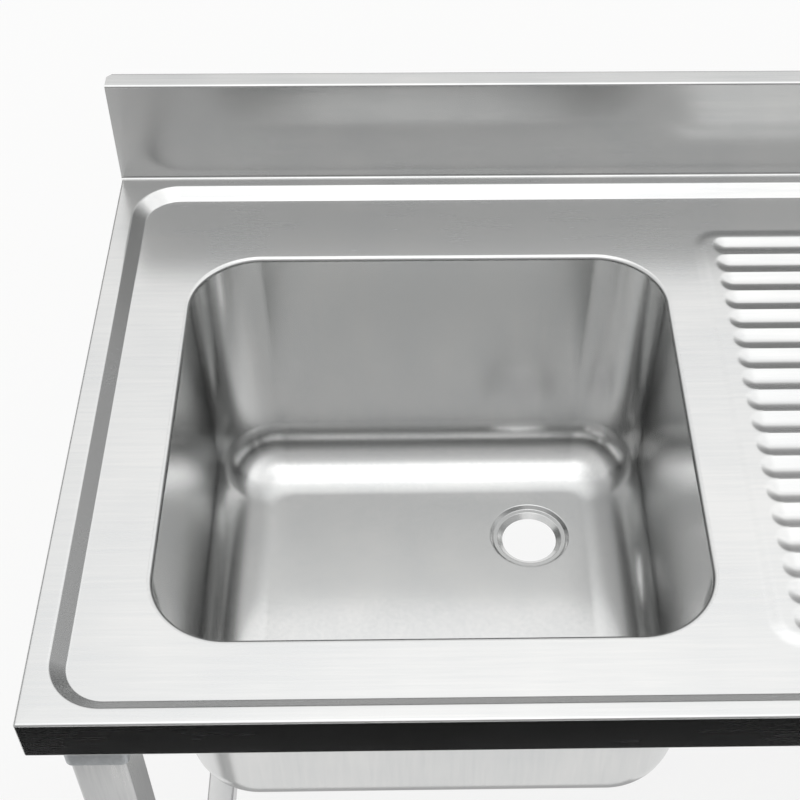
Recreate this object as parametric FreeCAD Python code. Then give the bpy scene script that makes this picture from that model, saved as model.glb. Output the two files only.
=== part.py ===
import FreeCAD, Part
import math
import os

# Commercial stainless sink table: pressed top with a raised rim, bowl on the left, ribbed drainer on the
# right, upstand along the rear, open leg frame with adjustable feet. Millimetres, +Z up, +Y towards the
# wall. The origin is on the floor under the middle of the table.

# Overall sizes
table_width = 1200.0
table_depth = 600.0
worktop_height = 850.0
splash_height = 100.0

# Folded worktop sheet
sheet = 1.2
fold_inside_radius = 1.2
apron_height = 40.0
apron_return = 12.0
rim_flat_side = 16.0
rim_flat_front = 13.0
rim_flat_rear = 12.5
rim_slope_width = 10.6
rim_drop = 9.0
rim_corner_radius = 40.0
rim_bend_inside_radius = 1.8

# Upstand along the rear edge
splash_thickness = 20.0
splash_downturn = 15.0
splash_corner_cut = 6.0

# Pressed bowl, welded flush into the worktop
bowl_width = 408.0
bowl_length = 402.0
bowl_depth = 260.0
bowl_draft = 3.0
bowl_sheet = 1.0
bowl_corner_radius = 58.0
bowl_floor_radius = 52.0
bowl_floor_corner_radius = 3.0
bowl_lip_inside_radius = 3.0
bowl_from_left = 77.0
bowl_from_front = 74.0

# Drain recess, pressed into the bowl floor for a flanged waste
drain_from_right = 107.0
drain_from_rear = 107.0
drain_hole_radius = 26.0
drain_ledge_radius = 31.0
drain_recess_radius = 35.0
drain_mouth_radius = 38.0
drain_ledge_drop = 3.5
drain_dish_drop = 7.5

# Drainer field beside the bowl
drainer_gap = 32.0
drainer_from_front = 60.0
drainer_rear_room = 60.0
drainer_from_right = 62.6
drainer_crest = 1.8
drainer_side_ramp = 12.0
drainer_end_ramp = 11.8
drainer_corner_radius = 25.0
groove_pitch = 23.8
groove_width = 20.0
groove_depth = 2.8
groove_from_ramp = 6.0

# Sound pad stuck under the bowl floor
sound_pad_width = 190.0
sound_pad_length = 170.0
sound_pad_thickness = 2.0
sound_pad_margin = 62.0
sound_pad_corner_radius = 10.0

# Stiffening channels under the worktop
channel_sheet = 1.5
channel_height = 24.0
channel_width = 28.0
channel_flange = 12.0
channel_from_bowl = 3.0
drainer_channel_shares = (0.28, 0.74)

# Legs, sockets and braces
leg_size = 40.0
leg_wall = 1.2
leg_corner_inside_radius = 1.8
leg_inset = 40.0
socket_wall = 2.5
socket_play = 0.4
socket_height = 70.0
socket_plate = 2.0
socket_plate_overhang = 14.0
brace_size = 30.0
brace_wall = 1.2
brace_corner_inside_radius = 1.3
brace_height = 150.0
plug_length = 25.0
plug_corner_play = 0.3
bolt_radius = 4.0
bolt_play = 0.3
bolt_head_radius = 7.5
bolt_head_height = 5.0
bolt_in_plug = 18.0
grub_radius = 4.0
grub_length = 6.0
screw_thread_play = 0.05
key_flats = 4.0
key_depth = 3.0
grub_height_shares = (0.3, 0.7)

# Adjustable feet
leg_lift = 40.0
insert_flange = 3.0
insert_height = 30.0
insert_corner_play = 0.6
thread_radius = 6.0
thread_play = 0.05
stem_top = 82.0
stem_point = 1.5
stem_pin_drop = 9.0
hex_flats = 19.0
hex_bottom = 14.0
hex_height = 9.0
foot_radius = 22.0
foot_neck_radius = 13.0
foot_rim_height = 5.0
foot_chamfer = 1.5

# Length by which every cutting tool runs past what it cuts
overrun = 2.0

# Radii on the outer side of each bend
fold_radius = fold_inside_radius + sheet
rim_bend_radius = rim_bend_inside_radius + sheet
bowl_lip_radius = bowl_lip_inside_radius + bowl_sheet
leg_corner_radius = leg_corner_inside_radius + leg_wall
brace_corner_radius = brace_corner_inside_radius + brace_wall

# Places worked out from the sizes above
left = -table_width / 2
right = table_width / 2
front = -table_depth / 2
rear = table_depth / 2
splash_face = rear - splash_thickness
rim_top = worktop_height
field = rim_top - rim_drop
apron_bottom = rim_top - apron_height
bowl_left = left + bowl_from_left
bowl_right = bowl_left + bowl_width
bowl_front = front + bowl_from_front
bowl_rear = bowl_front + bowl_length
bowl_floor = field - bowl_depth
# The floor bend is never larger than the round corners of the walls that it runs along
bowl_floor_bend = min(bowl_floor_radius, bowl_corner_radius - bowl_draft - bowl_floor_corner_radius)
drain_x = bowl_right - drain_from_right
drain_y = bowl_rear - drain_from_rear
drainer_left = bowl_right + drainer_gap
drainer_right = right - drainer_from_right
drainer_front = front + drainer_from_front
drainer_room = splash_face - drainer_rear_room - drainer_front - 2 * drainer_end_ramp
groove_count = math.floor(drainer_room / groove_pitch)
drainer_rear = drainer_front + groove_count * groove_pitch + 2 * drainer_end_ramp
groove_bottom = field + drainer_crest - groove_depth
leg_x = table_width / 2 - leg_inset
leg_front_y = front + leg_inset
leg_rear_y = splash_face - leg_inset
leg_top = field - sheet - socket_plate
plate_under = field - sheet


def vector(x, y, z):
    return FreeCAD.Vector(x, y, z)


def block(x0, y0, z0, x1, y1, z1):
    return Part.makeBox(x1 - x0, y1 - y0, z1 - z0, vector(x0, y0, z0))


def rounded_outline(x0, y0, x1, y1, radius, z):
    # Closed wire of a rectangle with round corners, level at height z
    near_x, far_x = x0 + radius, x1 - radius
    near_y, far_y = y0 + radius, y1 - radius
    centres = [(far_x, near_y), (far_x, far_y), (near_x, far_y), (near_x, near_y)]
    corners = []
    for quarter, (cx, cy) in enumerate(centres):
        start = math.pi / 2 * (quarter - 1)
        turns = (start, start + math.pi / 4, start + math.pi / 2)
        corners.append([vector(cx + radius * math.cos(a), cy + radius * math.sin(a), z) for a in turns])
    edges = []
    for index, points in enumerate(corners):
        edges.append(Part.Arc(*points).toShape())
        following = corners[(index + 1) % len(corners)][0]
        edges.append(Part.LineSegment(points[2], following).toShape())
    return Part.Wire(edges)


def rounded_block(x0, y0, z0, x1, y1, z1, radius):
    face = Part.Face(rounded_outline(x0, y0, x1, y1, radius, z0))
    return face.extrude(vector(0, 0, z1 - z0))


def tapered_block(x0, y0, x1, y1, z0, z1, inset, radius):
    # Solid with round corners whose outline at z1 lies inset inside the one at z0
    base = rounded_outline(x0, y0, x1, y1, radius, z0)
    top = rounded_outline(x0 + inset[0], y0 + inset[1], x1 - inset[0], y1 - inset[1], radius - inset[2], z1)
    return Part.makeLoft([base, top], True, True)


def level_edges(shape, z, x0, y0, x1, y1):
    # Edges that lie wholly at height z within a rectangle
    near = sheet / 100
    found = []
    for edge in shape.Edges:
        box = edge.BoundBox
        level = abs(box.ZMin - z) < near and abs(box.ZMax - z) < near
        within_x = box.XMin > x0 - near and box.XMax < x1 + near
        within_y = box.YMin > y0 - near and box.YMax < y1 + near
        if level and within_x and within_y:
            found.append(edge)
    return found


def square_tube(x, y, z0, z1, size, wall, corner):
    half = size / 2
    bore = half - wall
    outer = rounded_block(x - half, y - half, z0, x + half, y + half, z1, corner)
    inner = rounded_block(x - bore, y - bore, z0 - overrun, x + bore, y + bore, z1 + overrun, corner - wall)
    return outer.cut(inner)


def save(name, shape):
    shape.exportStep(os.path.join("parts", name + ".step"))
    print(name, len(shape.Solids), round(shape.Volume), shape.isValid())


# Worktop

def worktop_form(depth):
    # Solid under the worktop's upper surface; with a depth, the solid under the sheet's lower surface
    top = rim_top - depth
    low = apron_bottom - depth
    back = splash_face + (overrun if depth else 0)
    form = block(left + depth, front + depth, low, right - depth, back, top)
    upper = [edge for edge in form.Edges if edge.BoundBox.ZMin > top - sheet / 2]
    folds = [edge for edge in upper if edge.BoundBox.YMin < back - sheet / 2]
    form = form.makeFillet(fold_radius - depth, folds)
    x0, x1 = left + rim_flat_side, right - rim_flat_side
    y0, y1 = front + rim_flat_front, splash_face - rim_flat_rear
    w = rim_slope_width
    pocket_top = rounded_outline(x0, y0, x1, y1, rim_corner_radius, top)
    pocket_floor = rounded_outline(x0 + w, y0 + w, x1 - w, y1 - w, rim_corner_radius - w, field - depth)
    form = form.cut(Part.makeLoft([pocket_floor, pocket_top], True, True))
    form = form.makeFillet(rim_bend_radius - depth, level_edges(form, top, x0, y0, x1, y1))
    form = form.makeFillet(rim_bend_inside_radius + depth, level_edges(form, field - depth, x0, y0, x1, y1))
    form = form.fuse(drainer_rise(depth))
    return form.cut(drainer_grooves(depth))


def drainer_rise(depth):
    # Low plateau of the drainer with a ramp on each side
    insets = (drainer_side_ramp, drainer_end_ramp, drainer_end_ramp)
    low = field - depth
    x0, x1, y0, y1 = drainer_left, drainer_right, drainer_front, drainer_rear
    return tapered_block(x0, y0, x1, y1, low, low + drainer_crest, insets, drainer_corner_radius)


def drainer_grooves(depth):
    # Round-ended grooves along the table, one for each pitch
    half = groove_width / 2
    radius = (half * half + groove_depth * groove_depth) / (2 * groove_depth)
    z = groove_bottom + radius - depth
    inset = drainer_side_ramp + groove_from_ramp + half
    x0, x1 = drainer_left + inset, drainer_right - inset
    tools = []
    for index in range(groove_count):
        y = drainer_front + drainer_end_ramp + groove_pitch * (index + 0.5)
        rod = Part.makeCylinder(radius, x1 - x0, vector(x0, y, z), vector(1, 0, 0))
        for x in (x0, x1):
            rod = rod.fuse(Part.makeSphere(radius, vector(x, y, z)))
        tools.append(rod)
    return tools


def lip_outline_block(z0, z1):
    # Outline of the bowl's rounded lip, which is also the worktop's cut-out
    r = bowl_lip_radius
    x0, x1 = bowl_left - r, bowl_right + r
    return rounded_block(x0, bowl_front - r, z0, x1, bowl_rear + r, z1, bowl_corner_radius + r)


def apron_returns():
    # Narrow flanges folded inwards at the foot of the front and side aprons
    reach = sheet + apron_return
    z0, z1 = apron_bottom, apron_bottom + sheet
    flange = block(left + sheet / 2, front + sheet / 2, z0, right - sheet / 2, front + reach, z1)
    flange = flange.fuse(block(left + sheet / 2, front + sheet / 2, z0, left + reach, splash_face, z1))
    return flange.fuse(block(right - reach, front + sheet / 2, z0, right - sheet / 2, splash_face, z1))


def worktop():
    skin = worktop_form(0).cut(worktop_form(sheet))
    skin = skin.fuse(apron_returns())
    return skin.cut(lip_outline_block(field - sheet - overrun, field + overrun))


# Upstand

def splash_section(x0, x1, inset):
    # Solid behind the rear apron and the upstand's face and under its top return, with round folds
    r = fold_radius - inset
    y0, y1 = splash_face + inset, rear - inset
    z1 = rim_top + splash_height - inset
    form = block(x0, y0, apron_bottom - inset, x1, y1, z1)
    folds = []
    for edge in form.Edges:
        box = edge.BoundBox
        if box.ZMin > z1 - sheet / 2 and box.XLength > table_width / 2:
            folds.append(edge)
    return form.makeFillet(r, folds)


def splash_corner_cuts():
    # Upright wedges that take off the two rear corners of the upstand's top
    cuts = []
    low = rim_top - overrun
    for side, edge in ((-1, left - overrun), (1, right + overrun)):
        reach = splash_corner_cut + overrun
        corner = vector(edge, rear + overrun, low)
        along = vector(edge - side * (reach + overrun), rear + overrun, low)
        across = vector(edge, rear - reach, low)
        face = Part.Face(Part.makePolygon([corner, along, across, corner]))
        cuts.append(face.extrude(vector(0, 0, splash_height + 2 * overrun)))
    return cuts


def splashback():
    shell = splash_section(left, right, 0).cut(splash_section(left - overrun, right + overrun, sheet))
    low = rim_top + splash_height - splash_downturn
    x0, x1 = left - overrun, right + overrun
    open_back = block(x0, rear - sheet - overrun, apron_bottom - overrun, x1, rear + overrun, low)
    return shell.cut(open_back).cut(splash_corner_cuts())


def splash_end(side):
    # Plate that closes the upstand's end inside the fold
    inner = splash_section(left, right, sheet)
    x0 = left if side < 0 else right - sheet
    plate = inner.common(block(x0, splash_face, rim_top, x0 + sheet, rear, rim_top + splash_height))
    return plate.cut(splash_corner_cuts())


# Bowl

def bowl_room(depth):
    # Space inside the bowl and above its flange; with a depth, the same space grown by the sheet
    top = field - depth
    x0, x1 = bowl_left - depth, bowl_right + depth
    y0, y1 = bowl_front - depth, bowl_rear + depth
    floor = bowl_floor - depth
    mouth = rounded_outline(x0, y0, x1, y1, bowl_corner_radius + depth, field)
    d = bowl_draft
    base = rounded_outline(x0 + d, y0 + d, x1 - d, y1 - d, bowl_corner_radius + depth - d, floor)
    room = Part.makeLoft([base, mouth], True, True)
    room = room.makeFillet(bowl_floor_bend + depth, level_edges(room, floor, x0, y0, x1, y1))
    margin = bowl_lip_radius + overrun
    room = room.fuse(block(x0 - margin, y0 - margin, top, x1 + margin, y1 + margin, field + overrun))
    room = room.makeFillet(bowl_lip_radius - depth, level_edges(room, top, x0, y0, x1, y1))
    return room.fuse(drain_room(depth))


def drain_room(depth):
    # Turned form of the drain recess: sloped wall, ledge for the waste's flange and a shallow dish
    z = bowl_floor - depth
    points = [(0, z + overrun), (drain_mouth_radius + depth, z + overrun), (drain_mouth_radius + depth, z)]
    ledge, dish = z - drain_ledge_drop, z - drain_dish_drop
    points += [(drain_recess_radius + depth, ledge), (drain_ledge_radius, ledge)]
    points += [(drain_hole_radius, dish), (0, dish)]
    corners = [vector(drain_x + r, drain_y, height) for r, height in points]
    face = Part.Face(Part.makePolygon(corners + corners[:1]))
    return face.revolve(vector(drain_x, drain_y, 0), vector(0, 0, 1), 360)


def bowl():
    skin = bowl_room(bowl_sheet).cut(bowl_room(0))
    skin = skin.common(lip_outline_block(bowl_floor - drain_dish_drop - overrun * 2, field))
    low = bowl_floor - drain_dish_drop - bowl_sheet - overrun
    hole = Part.makeCylinder(drain_hole_radius, bowl_floor - low, vector(drain_x, drain_y, low))
    return skin.cut(hole)


def bowl_sound_pad():
    x0 = bowl_left + sound_pad_margin
    y0 = bowl_front + sound_pad_margin
    x1, y1 = x0 + sound_pad_width, y0 + sound_pad_length
    z1 = bowl_floor - bowl_sheet
    return rounded_block(x0, y0, z1 - sound_pad_thickness, x1, y1, z1, sound_pad_corner_radius)


# Underside channels

def channel(x, top):
    # Hat section from the front apron to the rear apron, open downwards between its two flanges
    y0, y1 = front + sheet, splash_face
    half = channel_width / 2
    low = top - channel_height
    body = block(x - half, y0, low, x + half, y1, top)
    bore = half - channel_sheet
    roof = top - channel_sheet
    body = body.cut(block(x - bore, y0 - overrun, low - overrun, x + bore, y1 + overrun, roof))
    for side in (-1, 1):
        inner = x + side * (half - channel_sheet / 2)
        outer = x + side * (half + channel_flange)
        body = body.fuse(block(min(inner, outer), y0, low, max(inner, outer), y1, low + channel_sheet))
    return body.removeSplitter()


def drainer_channel(index):
    x = drainer_left + drainer_channel_shares[index] * (drainer_right - drainer_left)
    return channel(x, groove_bottom - sheet)


def middle_channel():
    x = bowl_right + bowl_sheet + channel_from_bowl + channel_flange + channel_width / 2
    return channel(x, plate_under)


# Legs and their sockets

def leg_places():
    return {
        "front_left": (-leg_x, leg_front_y),
        "front_right": (leg_x, leg_front_y),
        "rear_left": (-leg_x, leg_rear_y),
        "rear_right": (leg_x, leg_rear_y),
    }


def grub_places(x, y):
    # Two screws one above the other, on the side of the socket that faces the middle of the table
    side = -1 if x > 0 else 1
    return [(side, leg_top - share * socket_height) for share in grub_height_shares]


def leg_socket(x, y):
    half = leg_size / 2 + socket_play
    outer = half + socket_wall
    z0 = leg_top - socket_height
    sleeve = square_tube(x, y, z0, leg_top, 2 * outer, socket_wall, leg_corner_radius + socket_wall)
    reach = half + socket_plate_overhang
    plate_x = sorted((x + reach, x - outer) if x < 0 else (x - reach, x + outer))
    plate_y = sorted((y + reach, y - outer) if y < 0 else (y - reach, y + outer))
    plate = block(plate_x[0], plate_y[0], leg_top, plate_x[1], plate_y[1], plate_under)
    body = sleeve.fuse(plate)
    for side, z in grub_places(x, y):
        start = vector(x + side * (half - overrun), y, z)
        radius = grub_radius + screw_thread_play
        hole = Part.makeCylinder(radius, socket_wall + 2 * overrun, start, vector(side, 0, 0))
        body = body.cut(hole)
    return body


def leg_grub_screws():
    screws = []
    for x, y in leg_places().values():
        for side, z in grub_places(x, y):
            start = vector(x + side * leg_size / 2, y, z)
            screw = Part.makeCylinder(grub_radius, grub_length, start, vector(side, 0, 0))
            mouth = vector(x + side * (leg_size / 2 + grub_length - key_depth), y, z)
            screws.append(screw.cut(key_socket(mouth, side)))
    return Part.makeCompound(screws)


def key_socket(mouth, side):
    # Hexagon socket for a key, opening along X towards the given side
    key = hexagon_bar(key_flats, key_depth + overrun)
    key.rotate(vector(0, 0, 0), vector(0, 1, 0), 90 * side)
    key.translate(mouth)
    return key


def leg(x, y):
    tube = square_tube(x, y, leg_lift, leg_top, leg_size, leg_wall, leg_corner_radius)
    if y == leg_rear_y:
        start = vector(x - leg_size, y, brace_height)
        tube = tube.cut(Part.makeCylinder(bolt_radius + bolt_play, 2 * leg_size, start, vector(1, 0, 0)))
    return tube


# Braces

def brace_tube(start, end, across):
    # Square tube along X or Y between two leg faces
    half = brace_size / 2
    bore = half - brace_wall
    z = brace_height
    along_x = across == "y"
    length = end[0] - start[0] if along_x else end[1] - start[1]
    solids = []
    for reach, radius, extra in ((half, brace_corner_radius, 0), (bore, brace_corner_inside_radius, overrun)):
        bar = rounded_block(-reach, -reach, -extra, reach, reach, length + extra, radius)
        if along_x:
            bar.rotate(vector(0, 0, 0), vector(0, 1, 0), 90)
        else:
            bar.rotate(vector(0, 0, 0), vector(1, 0, 0), -90)
        bar.translate(vector(start[0], start[1], z))
        solids.append(bar)
    return solids[0].cut(solids[1])


def side_brace(side):
    x = side * leg_x
    return brace_tube((x, leg_front_y + leg_size / 2), (x, leg_rear_y - leg_size / 2), "x")


def rear_brace():
    reach = leg_x - leg_size / 2
    return brace_tube((-reach, leg_rear_y), (reach, leg_rear_y), "y")


def rear_brace_plugs():
    # Threaded plugs pressed into the ends of the rear brace
    half = brace_size / 2 - brace_wall
    corner = brace_corner_inside_radius + plug_corner_play
    plugs = []
    for side in (-1, 1):
        end = side * (leg_x - leg_size / 2)
        plug = rounded_block(-half, -half, 0, half, half, plug_length, corner)
        plug.rotate(vector(0, 0, 0), vector(0, 1, 0), -90 * side)
        plug.translate(vector(end, leg_rear_y, brace_height))
        hole_start = vector(end + side * overrun, leg_rear_y, brace_height)
        hole = Part.makeCylinder(bolt_radius, plug_length + 2 * overrun, hole_start, vector(-side, 0, 0))
        plugs.append(plug.cut(hole))
    return Part.makeCompound(plugs)


def rear_brace_bolts():
    # Socket-head bolts through the rear legs into the plugs
    bolts = []
    for side in (-1, 1):
        face = side * (leg_x + leg_size / 2)
        start = vector(face, leg_rear_y, brace_height)
        radius = bolt_radius - screw_thread_play
        bolt = Part.makeCylinder(radius, leg_size + bolt_in_plug, start, vector(-side, 0, 0))
        head = Part.makeCylinder(bolt_head_radius, bolt_head_height, start, vector(side, 0, 0))
        mouth = vector(face + side * (bolt_head_height - key_depth), leg_rear_y, brace_height)
        bolts.append(bolt.fuse(head).cut(key_socket(mouth, side)))
    return Part.makeCompound(bolts)


def hexagon_bar(flats, height):
    radius = flats / math.sqrt(3)
    turns = [math.pi / 3 * step for step in range(6)]
    points = [vector(radius * math.cos(a), radius * math.sin(a), 0) for a in turns]
    face = Part.Face(Part.makePolygon(points + points[:1]))
    return face.extrude(vector(0, 0, height))


# Feet

def foot_insert(x, y):
    half = leg_size / 2
    bore = half - leg_wall
    z0 = leg_lift - insert_flange
    z1 = leg_lift + insert_height
    corner = leg_corner_inside_radius + insert_corner_play
    cap = rounded_block(x - half, y - half, z0, x + half, y + half, leg_lift, leg_corner_radius)
    plug = rounded_block(x - bore, y - bore, leg_lift - insert_flange / 2, x + bore, y + bore, z1, corner)
    thread = Part.makeCylinder(thread_radius, z1 - z0 + 2 * overrun, vector(x, y, z0 - overrun))
    return cap.fuse(plug).cut(thread)


def foot_stem(x, y):
    # Threaded spindle with a hexagon to turn it by
    r = thread_radius - thread_play
    low = hex_bottom - stem_pin_drop
    rod = Part.makeCylinder(r, stem_top - stem_point - low, vector(x, y, low))
    point = Part.makeCone(r, r - stem_point, stem_point, vector(x, y, stem_top - stem_point))
    nut = hexagon_bar(hex_flats, hex_height)
    nut.translate(vector(x, y, hex_bottom))
    return rod.fuse(point).fuse(nut)


def foot_pad(x, y):
    # Round moulded pad, turned about the spindle
    points = [(0, 0), (foot_radius - foot_chamfer, 0), (foot_radius, foot_chamfer)]
    points += [(foot_radius, foot_rim_height), (foot_neck_radius, hex_bottom), (0, hex_bottom)]
    corners = [vector(x + r, y, z) for r, z in points]
    form = Part.Face(Part.makePolygon(corners + corners[:1])).revolve(vector(x, y, 0), vector(0, 0, 1), 360)
    pin = Part.makeCylinder(thread_radius, stem_pin_drop + overrun, vector(x, y, hex_bottom - stem_pin_drop))
    return form.cut(pin)


os.makedirs("parts", exist_ok=True)
save("worktop", worktop())
save("splashback", splashback())
save("splash_end_left", splash_end(-1))
save("splash_end_right", splash_end(1))
save("bowl", bowl())
save("bowl_sound_pad", bowl_sound_pad())
save("middle_channel", middle_channel())
save("drainer_channel_left", drainer_channel(0))
save("drainer_channel_right", drainer_channel(1))
for place, (leg_at_x, leg_at_y) in leg_places().items():
    save("leg_socket_" + place, leg_socket(leg_at_x, leg_at_y))
    save("leg_" + place, leg(leg_at_x, leg_at_y))
    save("foot_insert_" + place, foot_insert(leg_at_x, leg_at_y))
    save("foot_stem_" + place, foot_stem(leg_at_x, leg_at_y))
    save("foot_pad_" + place, foot_pad(leg_at_x, leg_at_y))
save("leg_grub_screws", leg_grub_screws())
save("side_brace_left", side_brace(-1))
save("side_brace_right", side_brace(1))
save("rear_brace", rear_brace())
save("rear_brace_plugs", rear_brace_plugs())
save("rear_brace_bolts", rear_brace_bolts())
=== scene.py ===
import bpy
import bmesh
import math
from mathutils import Matrix, Vector


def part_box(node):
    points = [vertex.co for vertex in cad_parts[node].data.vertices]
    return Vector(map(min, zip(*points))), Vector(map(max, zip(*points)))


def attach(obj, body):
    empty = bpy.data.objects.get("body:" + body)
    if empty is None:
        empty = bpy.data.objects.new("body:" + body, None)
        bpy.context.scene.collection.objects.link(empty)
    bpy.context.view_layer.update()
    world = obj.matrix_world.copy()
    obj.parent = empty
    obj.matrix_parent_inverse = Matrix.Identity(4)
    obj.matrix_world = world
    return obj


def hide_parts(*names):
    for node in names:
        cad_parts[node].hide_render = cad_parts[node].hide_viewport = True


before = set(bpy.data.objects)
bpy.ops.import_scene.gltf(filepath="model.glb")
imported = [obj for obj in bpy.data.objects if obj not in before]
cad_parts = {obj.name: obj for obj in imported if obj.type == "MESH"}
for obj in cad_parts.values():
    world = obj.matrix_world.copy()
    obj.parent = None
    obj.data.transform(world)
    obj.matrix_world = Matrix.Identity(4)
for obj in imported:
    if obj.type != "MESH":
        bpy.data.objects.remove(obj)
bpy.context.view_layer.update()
mm = 0.001
print("frame loaded:", len(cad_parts), "nodes")


# Small tools

def linear(hexText):
    # sRGB hex to the linear colour that the shaders take
    channels = [int(hexText[i:i + 2], 16) / 255 for i in (1, 3, 5)]
    return [c / 12.92 if c <= 0.04045 else ((c + 0.055) / 1.055) ** 2.4 for c in channels] + [1.0]


def addNode(tree, kind, inputs=None, **settings):
    # Adds a node with its settings, values and links
    made = tree.nodes.new(kind)
    for name, value in settings.items():
        setattr(made, name, value)
    for key, value in (inputs or {}).items():
        if isinstance(value, bpy.types.NodeSocket):
            tree.links.new(value, made.inputs[key])
        else:
            made.inputs[key].default_value = value
    return made


def newMaterial(name):
    material = bpy.data.materials.new(name)
    material.use_nodes = True
    material.node_tree.nodes.clear()
    return material, material.node_tree


def newPiece(name, bm):
    # A piece whose place is in its mesh, with its object at the origin
    mesh = bpy.data.meshes.new(name)
    bm.to_mesh(mesh)
    bm.free()
    piece = bpy.data.objects.new(name, mesh)
    bpy.context.scene.collection.objects.link(piece)
    return piece


def applyModifiers(piece):
    # Turns the evaluated result into the piece's own plain mesh
    bpy.context.view_layer.update()
    evaluated = piece.evaluated_get(bpy.context.evaluated_depsgraph_get())
    mesh = bpy.data.meshes.new_from_object(evaluated)
    piece.modifiers.clear()
    piece.data = mesh


def smoothShade(piece, creaseDegrees):
    # Smooth shading with true flats: wide faces set the normals of the bends beside them
    piece.data.shade_smooth()
    piece.data.set_sharp_from_angle(angle=math.radians(creaseDegrees))
    weighted = piece.modifiers.new("weighted", "WEIGHTED_NORMAL")
    weighted.keep_sharp = True
    applyModifiers(piece)


def wallThickness(piece, thickness):
    solid = piece.modifiers.new("sheet", "SOLIDIFY")
    solid.thickness = thickness
    solid.offset = -1
    solid.use_even_offset = True
    solid.use_quality_normals = True


def finishPiece(piece, material, body, replaced=()):
    piece.data.materials.clear()
    piece.data.materials.append(material)
    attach(piece, body)
    if replaced:
        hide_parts(*replaced)


def levelSheet(name, low, high, z):
    # One level rectangle, facing up
    bm = bmesh.new()
    (x0, y0), (x1, y1) = low, high
    bm.faces.new([bm.verts.new((x, y, z)) for x, y in ((x0, y0), (x1, y0), (x1, y1), (x0, y1))])
    return newPiece(name, bm)


def roundedRing(x0, y0, x1, y1, radius, z, steps):
    # Points of a level rectangle with round corners, counter-clockwise from the front right corner
    centres = [(x1 - radius, y0 + radius, -90), (x1 - radius, y1 - radius, 0)]
    centres += [(x0 + radius, y1 - radius, 90), (x0 + radius, y0 + radius, 180)]
    ring = []
    for cx, cy, start in centres:
        for step in range(steps + 1):
            turn = math.radians(start + 90 * step / steps)
            ring.append(Vector((cx + radius * math.cos(turn), cy + radius * math.sin(turn), z)))
    return ring


def circleRing(x, y, z, radius, steps):
    turns = [math.tau * step / steps for step in range(steps)]
    return [Vector((x + radius * math.cos(a), y + radius * math.sin(a), z)) for a in turns]


def filletedPath(corners, radii, steps):
    # Polyline through the corners with an arc of the given radius at each inner one
    path = [Vector(corners[0])]
    for before, corner, after, radius in zip(corners, corners[1:], corners[2:], radii):
        corner = Vector(corner)
        back = (Vector(before) - corner).normalized()
        ahead = (Vector(after) - corner).normalized()
        half = back.angle(ahead) / 2
        centre = corner + (back + ahead).normalized() * radius / math.sin(half)
        first = corner + back * radius / math.tan(half) - centre
        last = corner + ahead * radius / math.tan(half) - centre
        whole = first.angle(last)
        for step in range(steps + 1):
            share = step / steps
            turned = first * math.sin((1 - share) * whole) + last * math.sin(share * whole)
            path.append(centre + turned / math.sin(whole))
    path.append(Vector(corners[-1]))
    return path


def loftRings(bm, rings, closed=True):
    # Skins the rings in order and returns their vertices, ring by ring
    rows = [[bm.verts.new(point) for point in ring] for ring in rings]
    count = len(rows[0])
    for lower, upper in zip(rows, rows[1:]):
        for i in range(count if closed else count - 1):
            j = (i + 1) % count
            bm.faces.new((lower[i], lower[j], upper[j], upper[i]))
    return rows


def loopEdges(bm, row, closed=True):
    pairs = list(zip(row, row[1:])) + ([(row[-1], row[0])] if closed else [])
    return [bm.edges.get(pair) or bm.edges.new(pair) for pair in pairs]


def fillLevel(bm, edges):
    # Fills a level region between loops, facing up
    filled = bmesh.ops.triangle_fill(bm, edges=edges, use_beauty=True)["geom"]
    for item in filled:
        if isinstance(item, bmesh.types.BMFace):
            item.normal_update()
            if item.normal.z < 0:
                item.normal_flip()


def storeBrush(mesh, direction):
    # Keeps the direction of the brushing at each point, for the steel's stretched gloss
    layer = mesh.attributes.new("brush", "FLOAT_VECTOR", "POINT")
    for vertex in mesh.vertices:
        layer.data[vertex.index].vector = direction(vertex.co)


# Steel finishes

steelPattern = {"streakDetail": 4.0, "streakRoughness": 0.65, "waveDetail": 1.0, "waveRoughness": 0.4,
                "cloudDetail": 2.0, "darkest": 0.7, "palest": 1.3}


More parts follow.
